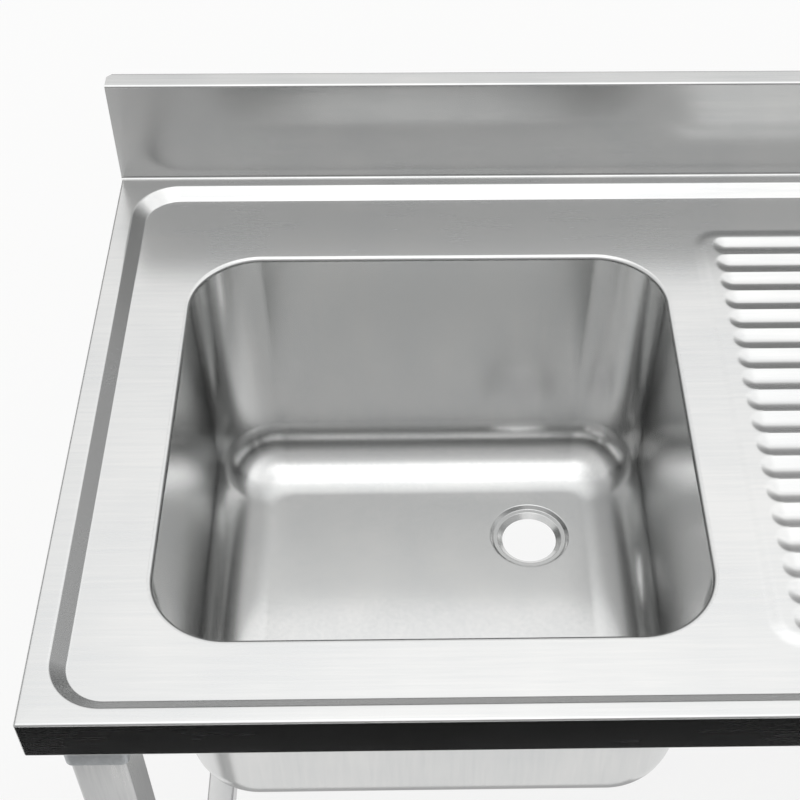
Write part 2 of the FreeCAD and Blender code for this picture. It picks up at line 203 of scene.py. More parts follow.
def steelFinish(name, look):
    # Stainless sheet, belt-brushed: long streaks in tone and gloss, and the slow waves of pressed sheet
    p = steelPattern
    material, tree = newMaterial(name)
    place = addNode(tree, "ShaderNodeTexCoord").outputs["Object"]
    streakPlace = addNode(tree, "ShaderNodeMapping", {"Vector": place,
                                                      "Scale": look["streakStretch"]}).outputs[0]
    streaks = addNode(tree, "ShaderNodeTexNoise", {"Vector": streakPlace, "Scale": 1 / look["streakWidth"],
                                                   "Detail": p["streakDetail"],
                                                   "Roughness": p["streakRoughness"]}).outputs["Fac"]
    waves = addNode(tree, "ShaderNodeTexNoise", {"Vector": place, "Scale": 1 / look["waveLength"],
                                                 "Detail": p["waveDetail"],
                                                 "Roughness": p["waveRoughness"]}).outputs["Fac"]
    clouds = addNode(tree, "ShaderNodeTexNoise", {"Vector": place, "Scale": 1 / look["cloudSize"],
                                                  "Detail": p["cloudDetail"]}).outputs["Fac"]
    mixed = addNode(tree, "ShaderNodeMath", {0: streaks, 1: clouds}, operation="ADD").outputs[0]
    spread = {"Value": mixed, "From Min": p["darkest"], "From Max": p["palest"]}
    tone = addNode(tree, "ShaderNodeMapRange", spread).outputs[0]
    tones = {0: tone, 6: linear(look["shadeColour"]), 7: linear(look["colour"])}
    colour = addNode(tree, "ShaderNodeMix", tones, data_type="RGBA").outputs[2]
    dull, bright = look["roughness"] + look["roughnessSpread"], look["roughness"] - look["roughnessSpread"]
    gloss = addNode(tree, "ShaderNodeMapRange", {**spread, "To Min": dull, "To Max": bright}).outputs[0]
    waveBump = addNode(tree, "ShaderNodeBump", {"Height": waves, "Distance": look["waveHeight"]})
    lineBump = addNode(tree, "ShaderNodeBump", {"Height": streaks, "Distance": look["lineHeight"],
                                                "Normal": waveBump.outputs[0]})
    shader = addNode(tree, "ShaderNodeBsdfPrincipled", {"Base Color": colour, "Metallic": 1.0,
                                                        "Roughness": gloss, "Normal": lineBump.outputs[0],
                                                        "Anisotropic": look["anisotropy"]})
    if look["anisotropy"]:
        if look["brush"] == "attribute":
            brush = addNode(tree, "ShaderNodeAttribute", attribute_name="brush").outputs["Vector"]
        else:
            x, y, z = look["brush"]
            brush = addNode(tree, "ShaderNodeCombineXYZ", {"X": x, "Y": y, "Z": z}).outputs[0]
        tree.links.new(brush, shader.inputs["Tangent"])
    addNode(tree, "ShaderNodeOutputMaterial", {"Surface": shader.outputs[0]})
    return material


steelLooks = {
    # Fine satin lines along the length: a soft, even mirror
    "worktop": {"colour": "#DEDEDD", "shadeColour": "#D6D7D7", "roughness": 0.26, "roughnessSpread": 0.02,
                "anisotropy": 0.3, "brush": "attribute", "streakStretch": (0.03, 1.0, 1.0),
                "streakWidth": 3 * mm, "lineHeight": 0.002 * mm, "waveLength": 160 * mm,
                "waveHeight": 0.12 * mm, "cloudSize": 90 * mm},
    # Coarser lines along the length, which draw what they mirror upwards
    "upstand": {"colour": "#DCDCDB", "shadeColour": "#D2D3D3", "roughness": 0.24, "roughnessSpread": 0.02,
                "anisotropy": 0.6, "brush": "attribute", "streakStretch": (0.02, 1.0, 1.0),
                "streakWidth": 2.5 * mm, "lineHeight": 0.004 * mm, "waveLength": 110 * mm,
                "waveHeight": 0.15 * mm, "cloudSize": 70 * mm},
    # Drawn, then polished down the walls: the clearest mirror of the set
    "bowl": {"colour": "#DADAD9", "shadeColour": "#D2D3D3", "roughness": 0.20, "roughnessSpread": 0.02,
             "anisotropy": 0.35, "brush": "attribute", "streakStretch": (1.0, 1.0, 0.05),
             "streakWidth": 4 * mm, "lineHeight": 0.002 * mm, "waveLength": 120 * mm,
             "waveHeight": 0.10 * mm, "cloudSize": 80 * mm},
    # Lines run down the tube, and along it on a brace
    "tube": {"colour": "#CFCFCE", "shadeColour": "#C0C1C2", "roughness": 0.3, "roughnessSpread": 0.04,
             "anisotropy": 0.5, "brush": (0.0, 0.0, 1.0), "streakStretch": (1.0, 1.0, 0.03),
             "streakWidth": 2 * mm, "lineHeight": 0.006 * mm, "waveLength": 150 * mm,
             "waveHeight": 0.05 * mm, "cloudSize": 120 * mm},
    "brace": {"colour": "#CFCFCE", "shadeColour": "#C0C1C2", "roughness": 0.3, "roughnessSpread": 0.04,
              "anisotropy": 0.0, "streakStretch": (0.03, 0.03, 1.0),
              "streakWidth": 2 * mm, "lineHeight": 0.006 * mm, "waveLength": 150 * mm,
              "waveHeight": 0.05 * mm, "cloudSize": 120 * mm},
    # As rolled: dull and faintly clouded
    "millSheet": {"colour": "#B9BCBE", "shadeColour": "#A9ACAE", "roughness": 0.38, "roughnessSpread": 0.05,
                  "anisotropy": 0.0, "streakStretch": (1.0, 0.05, 1.0),
                  "streakWidth": 3 * mm, "lineHeight": 0.003 * mm, "waveLength": 120 * mm,
                  "waveHeight": 0.05 * mm, "cloudSize": 40 * mm},
    # Screws and weld metal: plain, with a fine grain
    "fastener": {"colour": "#BFC0C1", "shadeColour": "#AEB0B1", "roughness": 0.3, "roughnessSpread": 0.05,
                 "anisotropy": 0.0, "streakStretch": (1.0, 1.0, 1.0),
                 "streakWidth": 1 * mm, "lineHeight": 0.002 * mm, "waveLength": 60 * mm,
                 "waveHeight": 0.01 * mm, "cloudSize": 8 * mm},
}
worktopSteel = steelFinish("satin brushed stainless worktop", steelLooks["worktop"])
upstandSteel = steelFinish("length brushed stainless upstand", steelLooks["upstand"])
bowlSteel = steelFinish("deep drawn satin stainless bowl", steelLooks["bowl"])
tubeSteel = steelFinish("brushed stainless square tube", steelLooks["tube"])
braceSteel = steelFinish("brushed stainless brace tube", steelLooks["brace"])
endPlateLook = {**steelLooks["upstand"], "brush": (0.0, 0.0, 1.0)}  # a CAD node holds no brush attribute
endPlateSteel = steelFinish("brushed stainless end plate", endPlateLook)
millSteel = steelFinish("mill finish folded stainless", steelLooks["millSheet"])
fastenerSteel = steelFinish("rolled stainless screws", steelLooks["fastener"])


def zincPlate(name):
    # Turned steel spindle with bright zinc plate: smooth, slightly blue, faint turning rings
    look = {"colour": "#C4C8CC", "roughness": 0.22, "ringPitch": 2.513 * mm, "ringHeight": 0.004 * mm,
            "distortion": 1.0, "waveRate": 20}  # a wave texture turns 20 radians a unit
    material, tree = newMaterial(name)
    place = addNode(tree, "ShaderNodeTexCoord").outputs["Object"]
    rings = addNode(tree, "ShaderNodeTexWave", {"Vector": place, "Distortion": look["distortion"],
                                                "Scale": math.tau / look["waveRate"] / look["ringPitch"]},
                    bands_direction="Z").outputs["Fac"]
    bump = addNode(tree, "ShaderNodeBump", {"Height": rings, "Distance": look["ringHeight"]}).outputs[0]
    shader = addNode(tree, "ShaderNodeBsdfPrincipled", {"Base Color": linear(look["colour"]),
                                                        "Metallic": 1.0, "Roughness": look["roughness"],
                                                        "Normal": bump})
    addNode(tree, "ShaderNodeOutputMaterial", {"Surface": shader.outputs[0]})
    return material


nylon = {"ior": 1.53, "grainDetail": 3.0, "grainHeight": 0.03 * mm}


def mouldedNylon(name, look):
    # Moulded polyamide: near black, a fine spark-eroded grain and a dull sheen
    material, tree = newMaterial(name)
    place = addNode(tree, "ShaderNodeTexCoord").outputs["Object"]
    grain = addNode(tree, "ShaderNodeTexNoise", {"Vector": place, "Scale": 1 / look["grainSize"],
                                                 "Detail": nylon["grainDetail"]}).outputs["Fac"]
    tones = {0: grain, 6: linear(look["colour"]), 7: linear(look["wornColour"])}
    colour = addNode(tree, "ShaderNodeMix", tones, data_type="RGBA").outputs[2]
    bump = addNode(tree, "ShaderNodeBump", {"Height": grain, "Distance": nylon["grainHeight"]}).outputs[0]
    shader = addNode(tree, "ShaderNodeBsdfPrincipled", {"Base Color": colour, "Roughness": look["roughness"],
                                                        "IOR": nylon["ior"], "Normal": bump})
    addNode(tree, "ShaderNodeOutputMaterial", {"Surface": shader.outputs[0]})
    return material


def dampingMat(name):
    # Self-adhesive bitumen mat: matt black with an embossed crackle
    look = {"colour": "#1B1B1C", "paleColour": "#2A2A2B", "cell": 5 * mm, "height": 0.25 * mm,
            "roughness": 0.75}
    material, tree = newMaterial(name)
    place = addNode(tree, "ShaderNodeTexCoord").outputs["Object"]
    cells = addNode(tree, "ShaderNodeTexVoronoi", {"Vector": place, "Scale": 1 / look["cell"]},
                    feature="DISTANCE_TO_EDGE").outputs["Distance"]
    tones = {0: cells, 6: linear(look["colour"]), 7: linear(look["paleColour"])}
    colour = addNode(tree, "ShaderNodeMix", tones, data_type="RGBA").outputs[2]
    bump = addNode(tree, "ShaderNodeBump", {"Height": cells, "Distance": look["height"]}).outputs[0]
    shader = addNode(tree, "ShaderNodeBsdfPrincipled", {"Base Color": colour, "Roughness": look["roughness"],
                                                        "Normal": bump})
    addNode(tree, "ShaderNodeOutputMaterial", {"Surface": shader.outputs[0]})
    return material


spindlePlate = zincPlate("zinc plated turned steel")
footNylon = mouldedNylon("moulded black polyamide foot", {"colour": "#1E1E1F", "wornColour": "#2B2B2C",
                                                          "grainSize": 0.6 * mm, "roughness": 0.5})
insertNylon = mouldedNylon("moulded grey polyamide insert", {"colour": "#232425", "wornColour": "#323334",
                                                             "grainSize": 0.8 * mm, "roughness": 0.55})
matRubber = dampingMat("embossed bitumen damping mat")
print("materials made")


# Worktop: folded edge, raised rim, level field, pressed drainer

worktopLow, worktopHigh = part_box("worktop")
worktop = {
    "sheet": 1.2 * mm, "edgeRadius": 2.4 * mm, "cornerRadius": 2.0 * mm, "leastRadius": 0.02 * mm,
    "edgeSteps": 4, "returnWidth": 12 * mm, "sideBand": 0.5 * mm, "creaseDegrees": 25,
    "flatSide": 16 * mm, "flatFront": 13 * mm, "flatRear": 12.5 * mm,
    "slopeWidth": 10.6 * mm, "slopeDrop": 9 * mm, "slopeCorner": 40 * mm,
    "upperBend": 3.0 * mm, "lowerBend": 1.8 * mm, "bendSteps": 6, "cornerSteps": 24,
}
bowl = {
    "fromLeft": 77 * mm, "fromFront": 74 * mm, "width": 408 * mm, "length": 402 * mm, "depth": 260 * mm,
    "draft": 3 * mm, "corner": 58 * mm, "floorRadius": 52 * mm, "floorCorner": 14 * mm,
    "lip": 4 * mm, "lipRadius": 3.996 * mm, "sheet": 1.0 * mm, "bendSteps": 24, "wallRows": 10,
    "floorBrush": 0.25, "creaseDegrees": 40, "drainFromRight": 107 * mm, "drainFromRear": 107 * mm,
    "drainProfile": [(40, 0), (38, 0), (35, -3.5), (31, -3.5), (26, -7.5)],
    "drainRadii": [1.2, 0.9, 0.8], "drainBendSteps": 6, "drainSteps": 96,
}
drainer = {
    "gap": 32 * mm, "fromFront": 60 * mm, "fromRight": 62.6 * mm, "corner": 25 * mm,
    "sideRamp": 12 * mm, "endRamp": 11.8 * mm, "crest": 1.8 * mm, "pitch": 23.8 * mm, "count": 18,
    "grooveWidth": 23.2 * mm, "grooveDepth": 2.8 * mm, "valley": 3 * mm, "fromRamp": 6 * mm,
    "rowsPerPitch": 16, "rampRows": 5, "columnStep": 1.5 * mm, "wideColumns": 12,
}
tableLeft, tableRight = worktopLow.x, worktopHigh.x
tableFront, splashFace = worktopLow.y, worktopHigh.y
rimTop, apronFoot = worktopHigh.z, worktopLow.z
field = rimTop - worktop["slopeDrop"]
bowlLeft = tableLeft + bowl["fromLeft"]
bowlRight = bowlLeft + bowl["width"]
bowlFront = tableFront + bowl["fromFront"]
bowlRear = bowlFront + bowl["length"]
bowlFloor = field - bowl["depth"]
drainX = bowlRight - bowl["drainFromRight"]
drainY = bowlRear - bowl["drainFromRear"]
drainerLeft = bowlRight + drainer["gap"]
drainerRight = tableRight - drainer["fromRight"]
drainerFront = tableFront + drainer["fromFront"]
drainerRear = drainerFront + drainer["count"] * drainer["pitch"] + 2 * drainer["endRamp"]


def edgeRing(inset, z):
    # Line along the left, front and right edges, open towards the wall, with small ground corners
    radius = max(worktop["cornerRadius"] - inset, worktop["leastRadius"])
    x0, x1 = tableLeft + inset, tableRight - inset
    y0 = tableFront + inset
    ring = [Vector((x0, splashFace, z))]
    for cx, start in ((x0 + radius, 180), (x1 - radius, 270)):
        for step in range(worktop["edgeSteps"] + 1):
            turn = math.radians(start + 90 * step / worktop["edgeSteps"])
            ring.append(Vector((cx + radius * math.cos(turn), y0 + radius + radius * math.sin(turn), z)))
    return ring + [Vector((x1, splashFace, z))]


def rimRing(inset, z):
    radius = worktop["slopeCorner"] - inset
    x0, x1 = tableLeft + worktop["flatSide"] + inset, tableRight - worktop["flatSide"] - inset
    y0, y1 = tableFront + worktop["flatFront"] + inset, splashFace - worktop["flatRear"] - inset
    return roundedRing(x0, y0, x1, y1, radius, z, worktop["cornerSteps"])


def bowlRing(inset, z):
    # The corners keep their radius down the walls and tighten round the floor's bend
    onBend = max(inset - bowl["draft"], 0) / bowl["floorRadius"]
    radius = bowl["corner"] - min(inset, 0) + onBend * (bowl["floorCorner"] - bowl["corner"])
    return roundedRing(bowlLeft + inset, bowlFront + inset, bowlRight - inset, bowlRear - inset, radius, z,
                       worktop["cornerSteps"])


def drainerColumns():
    # Close columns where the grooves end, wide ones between
    near = drainer["sideRamp"] + drainer["fromRamp"] + drainer["grooveWidth"]
    count = round(near / drainer["columnStep"])
    ends = [near * i / count for i in range(count + 1)]
    middle = (drainerRight - drainerLeft) - 2 * near
    wide = drainer["wideColumns"]
    columns = [drainerLeft + end for end in ends]
    columns += [drainerLeft + near + middle * i / wide for i in range(1, wide)]
    return columns + [drainerRight - end for end in reversed(ends)]


def drainerRows():
    step = drainer["pitch"] / drainer["rowsPerPitch"]
    inner = [drainerFront + drainer["endRamp"] + step * i
             for i in range(drainer["count"] * drainer["rowsPerPitch"] + 1)]
    ramp = [drainer["endRamp"] * i / drainer["rampRows"] for i in range(drainer["rampRows"])]
    return [drainerFront + r for r in ramp] + inner + [drainerRear - r for r in reversed(ramp)]


def worktopMesh():
    bm = bmesh.new()
    w = worktop
    # Outer skin from the return flange round the apron to the top
    edgePath = filletedPath([(w["returnWidth"] + w["sheet"], apronFoot), (0, apronFoot), (0, rimTop),
                             (w["flatSide"] / 2, rimTop)],
                            [w["edgeRadius"], w["edgeRadius"]], w["bendSteps"])
    edgeRows = loftRings(bm, [edgeRing(inset, z) for inset, z in edgePath[:-1]], closed=False)
    # Sloped step down to the field
    slopePath = filletedPath([(-w["upperBend"], rimTop), (0, rimTop), (w["slopeWidth"], field),
                              (w["slopeWidth"] + w["upperBend"], field)],
                             [w["upperBend"], w["lowerBend"]], w["bendSteps"])
    rimRows = loftRings(bm, [rimRing(inset, z) for inset, z in slopePath])
    top = edgeRows[-1]
    fillLevel(bm, loopEdges(bm, top, closed=False) + loopEdges(bm, [top[-1], top[0]], closed=False)
              + loopEdges(bm, rimRows[0]))
    # Drainer grid, still flat: Geometry Nodes press the ribs
    columns, rows = drainerColumns(), drainerRows()
    grid = [[bm.verts.new((x, y, field)) for x in columns] for y in rows]
    for lower, upper in zip(grid, grid[1:]):
        for i in range(len(columns) - 1):
            bm.faces.new((lower[i], lower[i + 1], upper[i + 1], upper[i]))
    border = grid[0] + [row[-1] for row in grid[1:]]
    border += grid[-1][-2::-1] + [row[0] for row in grid[-2:0:-1]]
    lipRow = [bm.verts.new(point) for point in bowlRing(-bowl["lip"], field)]
    fillLevel(bm, loopEdges(bm, rimRows[-1]) + loopEdges(bm, border) + loopEdges(bm, lipRow))
    return newPiece("worktop_sheet", bm)


def ribPress():
    # Presses the low plateau and its round-ended grooves into the level sheet
    tree = bpy.data.node_groups.new("drainer rib press", "GeometryNodeTree")
    tree.interface.new_socket("Geometry", in_out="INPUT", socket_type="NodeSocketGeometry")
    sizes = {"Left": drainerLeft, "Right": drainerRight, "Front": drainerFront, "Rear": drainerRear,
             "Corner": drainer["corner"], "Side Ramp": drainer["sideRamp"], "End Ramp": drainer["endRamp"],
             "Crest": drainer["crest"], "Pitch": drainer["pitch"], "Last Groove": drainer["count"] - 1,
             "Half Width": drainer["grooveWidth"] / 2, "Valley": drainer["valley"],
             "Depth": drainer["grooveDepth"],
             "Groove Inset": drainer["sideRamp"] + drainer["fromRamp"] + drainer["grooveWidth"] / 2}
    for name in sizes:
        tree.interface.new_socket(name, in_out="INPUT", socket_type="NodeSocketFloat")
    tree.interface.new_socket("Steel", in_out="INPUT", socket_type="NodeSocketMaterial")
    tree.interface.new_socket("Geometry", in_out="OUTPUT", socket_type="NodeSocketGeometry")
    given = addNode(tree, "NodeGroupInput").outputs
    place = addNode(tree, "GeometryNodeInputPosition").outputs[0]
    axes = addNode(tree, "ShaderNodeSeparateXYZ", {0: place}).outputs
    # How far a point lies within each edge of the drainer
    room = []
    for far, near in ((axes[0], given["Left"]), (given["Right"], axes[0]),
                      (axes[1], given["Front"]), (given["Rear"], axes[1])):
        room.append(addNode(tree, "ShaderNodeMath", {0: far, 1: near}, operation="SUBTRACT").outputs[0])
    fromLeft, fromRight, fromFront, fromRear = room
    inX = addNode(tree, "ShaderNodeMath", {0: fromLeft, 1: fromRight}, operation="MINIMUM").outputs[0]
    inY = addNode(tree, "ShaderNodeMath", {0: fromFront, 1: fromRear}, operation="MINIMUM").outputs[0]
    shortX = addNode(tree, "ShaderNodeMath", {0: given["Corner"], 1: inX}, operation="SUBTRACT").outputs[0]
    shortY = addNode(tree, "ShaderNodeMath", {0: given["Corner"], 1: inY}, operation="SUBTRACT").outputs[0]
    overX = addNode(tree, "ShaderNodeMath", {0: shortX, 1: 0.0}, operation="MAXIMUM").outputs[0]
    overY = addNode(tree, "ShaderNodeMath", {0: shortY, 1: 0.0}, operation="MAXIMUM").outputs[0]
    over = addNode(tree, "ShaderNodeCombineXYZ", {"X": overX, "Y": overY}).outputs[0]
    reach = addNode(tree, "ShaderNodeVectorMath", {0: over}, operation="LENGTH").outputs["Value"]
    inside = addNode(tree, "ShaderNodeMath", {0: given["Corner"], 1: reach}, operation="SUBTRACT").outputs[0]
    # The ramp is wide at the ends of the grooves and narrow along them, and turns from one to the other
    share = addNode(tree, "ShaderNodeMath", {0: overX, 1: reach}, operation="DIVIDE",
                    use_clamp=True).outputs[0]
    square = addNode(tree, "ShaderNodeMath", {0: share, 1: 2.0}, operation="POWER").outputs[0]
    ramp = addNode(tree, "ShaderNodeMix", {0: square, 2: given["End Ramp"], 3: given["Side Ramp"]}).outputs[0]
    rise = addNode(tree, "ShaderNodeMapRange", {"Value": inside, "From Max": ramp, "To Max": given["Crest"]},
                   interpolation_type="SMOOTHSTEP").outputs[0]
    along = addNode(tree, "ShaderNodeMath", {0: fromFront, 1: given["End Ramp"]},
                    operation="SUBTRACT").outputs[0]
    turns = addNode(tree, "ShaderNodeMath", {0: along, 1: given["Pitch"]}, operation="DIVIDE").outputs[0]
    whole = addNode(tree, "ShaderNodeMath", {0: turns}, operation="FLOOR").outputs[0]
    groove = addNode(tree, "ShaderNodeClamp", {"Value": whole, "Max": given["Last Groove"]}).outputs[0]
    middle = addNode(tree, "ShaderNodeMath", {0: groove, 1: 0.5}, operation="ADD").outputs[0]
    offTurns = addNode(tree, "ShaderNodeMath", {0: turns, 1: middle}, operation="SUBTRACT").outputs[0]
    offY = addNode(tree, "ShaderNodeMath", {0: offTurns, 1: given["Pitch"]}, operation="MULTIPLY").outputs[0]
    pastX = addNode(tree, "ShaderNodeMath", {0: given["Groove Inset"], 1: inX},
                    operation="SUBTRACT").outputs[0]
    offX = addNode(tree, "ShaderNodeMath", {0: pastX, 1: 0.0}, operation="MAXIMUM").outputs[0]
    off = addNode(tree, "ShaderNodeCombineXYZ", {"X": offX, "Y": offY}).outputs[0]
    radius = addNode(tree, "ShaderNodeVectorMath", {0: off}, operation="LENGTH").outputs["Value"]
    # Straight groove sides, round in the valley and crisp at the crest between two grooves
    edge = addNode(tree, "ShaderNodeCombineXYZ", {"X": given["Half Width"], "Y": given["Valley"]}).outputs[0]
    edgeRun = addNode(tree, "ShaderNodeVectorMath", {0: edge}, operation="LENGTH").outputs["Value"]
    point = addNode(tree, "ShaderNodeCombineXYZ", {"X": radius, "Y": given["Valley"]}).outputs[0]
    run = addNode(tree, "ShaderNodeVectorMath", {0: point}, operation="LENGTH").outputs["Value"]
    sink = addNode(tree, "ShaderNodeMapRange", {"Value": run, "From Min": given["Valley"],
                                                "From Max": edgeRun, "To Min": given["Depth"],
                                                "To Max": 0.0}).outputs[0]
    height = addNode(tree, "ShaderNodeMath", {0: rise, 1: sink}, operation="SUBTRACT").outputs[0]
    # Only the drainer moves: it is where both distances from its edges are above zero
    least = addNode(tree, "ShaderNodeMath", {0: inX, 1: inY}, operation="MINIMUM").outputs[0]
    within = addNode(tree, "ShaderNodeMath", {0: least, 1: 0.0}, operation="GREATER_THAN").outputs[0]
    moved = addNode(tree, "ShaderNodeMath", {0: height, 1: within}, operation="MULTIPLY").outputs[0]
    offset = addNode(tree, "ShaderNodeCombineXYZ", {"Z": moved}).outputs[0]
    pressed = addNode(tree, "GeometryNodeSetPosition", {"Geometry": given["Geometry"],
                                                        "Offset": offset}).outputs[0]
    real = addNode(tree, "GeometryNodeRealizeInstances", {0: pressed}).outputs[0]
    steel = addNode(tree, "GeometryNodeSetMaterial", {"Geometry": real, "Material": given["Steel"]})
    addNode(tree, "NodeGroupOutput", {"Geometry": steel.outputs[0]})
    return tree, sizes


def setInputs(modifier, values):
    # Sets a Geometry Nodes modifier's inputs by their sockets' identifiers
    for item in modifier.node_group.interface.items_tree:
        if item.item_type == "SOCKET" and item.in_out == "INPUT" and item.name in values:
            modifier[item.identifier] = values[item.name]


def worktopBrush(point):
    # Brushed along its length; the side aprons carry the lines down round the fold
    side = min(point.x - tableLeft, tableRight - point.x)
    return (0.0, 0.0, 1.0) if side < worktop["sideBand"] else (1.0, 0.0, 0.0)


worktopPiece = worktopMesh()
press, pressSizes = ribPress()
pressing = worktopPiece.modifiers.new("rib press", "NODES")
pressing.node_group = press
setInputs(pressing, {**pressSizes, "Steel": worktopSteel})
applyModifiers(worktopPiece)
wallThickness(worktopPiece, worktop["sheet"])
applyModifiers(worktopPiece)
smoothShade(worktopPiece, worktop["creaseDegrees"])
storeBrush(worktopPiece.data, worktopBrush)
finishPiece(worktopPiece, worktopSteel, "table", ["worktop"])
print("worktop made:", len(worktopPiece.data.polygons), "faces")


# Bowl: rolled lip, drafted walls, round floor edge, stepped drain recess

def bowlMesh():
    bm = bmesh.new()
    b = bowl
    # The lip's arc stays just inside its reach, so that no two rows fall together
    path = filletedPath([(-b["lip"], field), (0, field), (b["draft"], bowlFloor),
                         (b["draft"] + 2 * b["floorRadius"], bowlFloor)],
                        [b["lipRadius"], b["floorRadius"]], b["bendSteps"])[1:-1]
    # The wall gets rows of its own between the two bends
    bend = b["bendSteps"] + 1
    path[bend:bend] = [path[bend - 1].lerp(path[bend], i / b["wallRows"]) for i in range(1, b["wallRows"])]
    rows = loftRings(bm, [bowlRing(inset, z) for inset, z in path])
    drainPath = [(r * mm, bowlFloor + z * mm) for r, z in b["drainProfile"]]
    drainPath = filletedPath(drainPath, [radius * mm for radius in b["drainRadii"]], b["drainBendSteps"])
    drainRows = loftRings(bm, [circleRing(drainX, drainY, z, r, b["drainSteps"]) for r, z in drainPath])
    fillLevel(bm, loopEdges(bm, rows[-1]) + loopEdges(bm, drainRows[0]))
    return newPiece("bowl_shell", bm)


def bowlBrush(point):
    # Polished down the walls, and along the floor up to a quarter of its bend
    onFloor = point.z < bowlFloor + bowl["floorRadius"] * bowl["floorBrush"]
    return (1.0, 0.0, 0.0) if onFloor else (0.0, 0.0, 1.0)


bowlPiece = bowlMesh()
wallThickness(bowlPiece, bowl["sheet"])
applyModifiers(bowlPiece)
smoothShade(bowlPiece, bowl["creaseDegrees"])
storeBrush(bowlPiece.data, bowlBrush)
finishPiece(bowlPiece, bowlSteel, "table", ["bowl"])
print("bowl made:", len(bowlPiece.data.polygons), "faces")


# Upstand: face, top return, downturn, rear apron, and the ground weld along its foot

splashLow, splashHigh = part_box("splashback")
splash = {"sheet": 1.2 * mm, "fold": 2.4 * mm, "downturn": 15 * mm, "cornerCut": 6 * mm, "columns": 24,
          "foldSteps": 8, "weldRadius": 2.6 * mm, "weldSteps": 8, "creaseDegrees": 40}


def splashMesh():
    bm = bmesh.new()
    s = splash
    path = filletedPath([(splashFace, splashLow.z), (splashFace, splashHigh.z),
                         (splashHigh.y, splashHigh.z), (splashHigh.y, splashHigh.z - s["downturn"])],
                        [s["fold"], s["fold"]], s["foldSteps"])
    cutFrom = splashHigh.y - s["cornerCut"]
    flat = s["foldSteps"] + 1
    path.insert(flat + 1, Vector((cutFrom, splashHigh.z)))
    rows = []
    for y, z in path:
        cut = max(y - cutFrom, 0)
        x0, x1 = tableLeft + cut, tableRight - cut
        rows.append([Vector((x0 + (x1 - x0) * i / s["columns"], y, z)) for i in range(s["columns"] + 1)])
    loftRings(bm, rows, closed=False)
    return newPiece("upstand_sheet", bm)


def weldMesh():
    # Slim concave fillet between the rim and the upstand
    bm = bmesh.new()
    r = splash["weldRadius"]
    steps = splash["weldSteps"]
    section = [(splashFace - r + r * math.sin(a), rimTop + r - r * math.cos(a))
               for a in [math.pi / 2 * step / steps for step in range(steps + 1)]]
    section += [(splashFace, rimTop)]
    ends = [[Vector((x, y, z)) for y, z in section] for x in (tableLeft, tableRight)]
    rows = loftRings(bm, ends)
    for row in rows:
        bm.faces.new(row)
    bmesh.ops.recalc_face_normals(bm, faces=bm.faces)
    return newPiece("upstand_weld", bm)


def splashBrush(point):
    # Brushed along its length everywhere
    return (1.0, 0.0, 0.0)


splashPiece = splashMesh()
wallThickness(splashPiece, splash["sheet"])
applyModifiers(splashPiece)
smoothShade(splashPiece, splash["creaseDegrees"])
storeBrush(splashPiece.data, splashBrush)
finishPiece(splashPiece, upstandSteel, "table", ["splashback"])
weldPiece = weldMesh()
smoothShade(weldPiece, splash["creaseDegrees"])
storeBrush(weldPiece.data, splashBrush)
finishPiece(weldPiece, upstandSteel, "table")
print("upstand made")


# Feet: threaded spindles with a hexagon, and moulded pads with a fluted skirt

spindle = {
    "radius": 5.95 * mm, "pitch": 1.75 * mm, "threadDepth": 1.05 * mm, "flankSlope": 1.15,
    "rowsPerPitch": 10, "steps": 40, "runOut": 1.5 * mm, "point": 1.5 * mm, "hexFlats": 19 * mm,
    "hexBottom": 14 * mm, "hexHeight": 9 * mm, "hexSteps": 72, "hexChamferDegrees": 30,
    "shoulderShare": 0.96, "creaseDegrees": 35,
}
pad = {
    "neckRadius": 13 * mm, "rimHeight": 5 * mm, "rimRound": 1.6 * mm, "neckRound": 1.2 * mm,
    "bore": 6 * mm, "soleInner": 14 * mm, "soleStep": 0.6 * mm, "soleRecess": 0.8 * mm,
    "collar": 1.5 * mm, "collarHeight": 2 * mm, "skirtRound": 3 * mm, "flutes": 24,
    "fluteDepth": 0.45 * mm, "steps": 192, "roundSteps": 6, "creaseDegrees": 40,
}


def threadRing(x, y, z, radius, depth):
    # A level ring through the helix: crisp at the crest, with a narrow flat at the root
    ring = []
    for step in range(spindle["steps"]):
        share = step / spindle["steps"]
        turn = math.tau * share
        phase = (z / spindle["pitch"] - share) % 1.0
        cut = min(1.0, spindle["flankSlope"] * (1 - abs(2 * phase - 1)))
        r = radius - depth * cut
        ring.append(Vector((x + r * math.cos(turn), y + r * math.sin(turn), z)))
    return ring


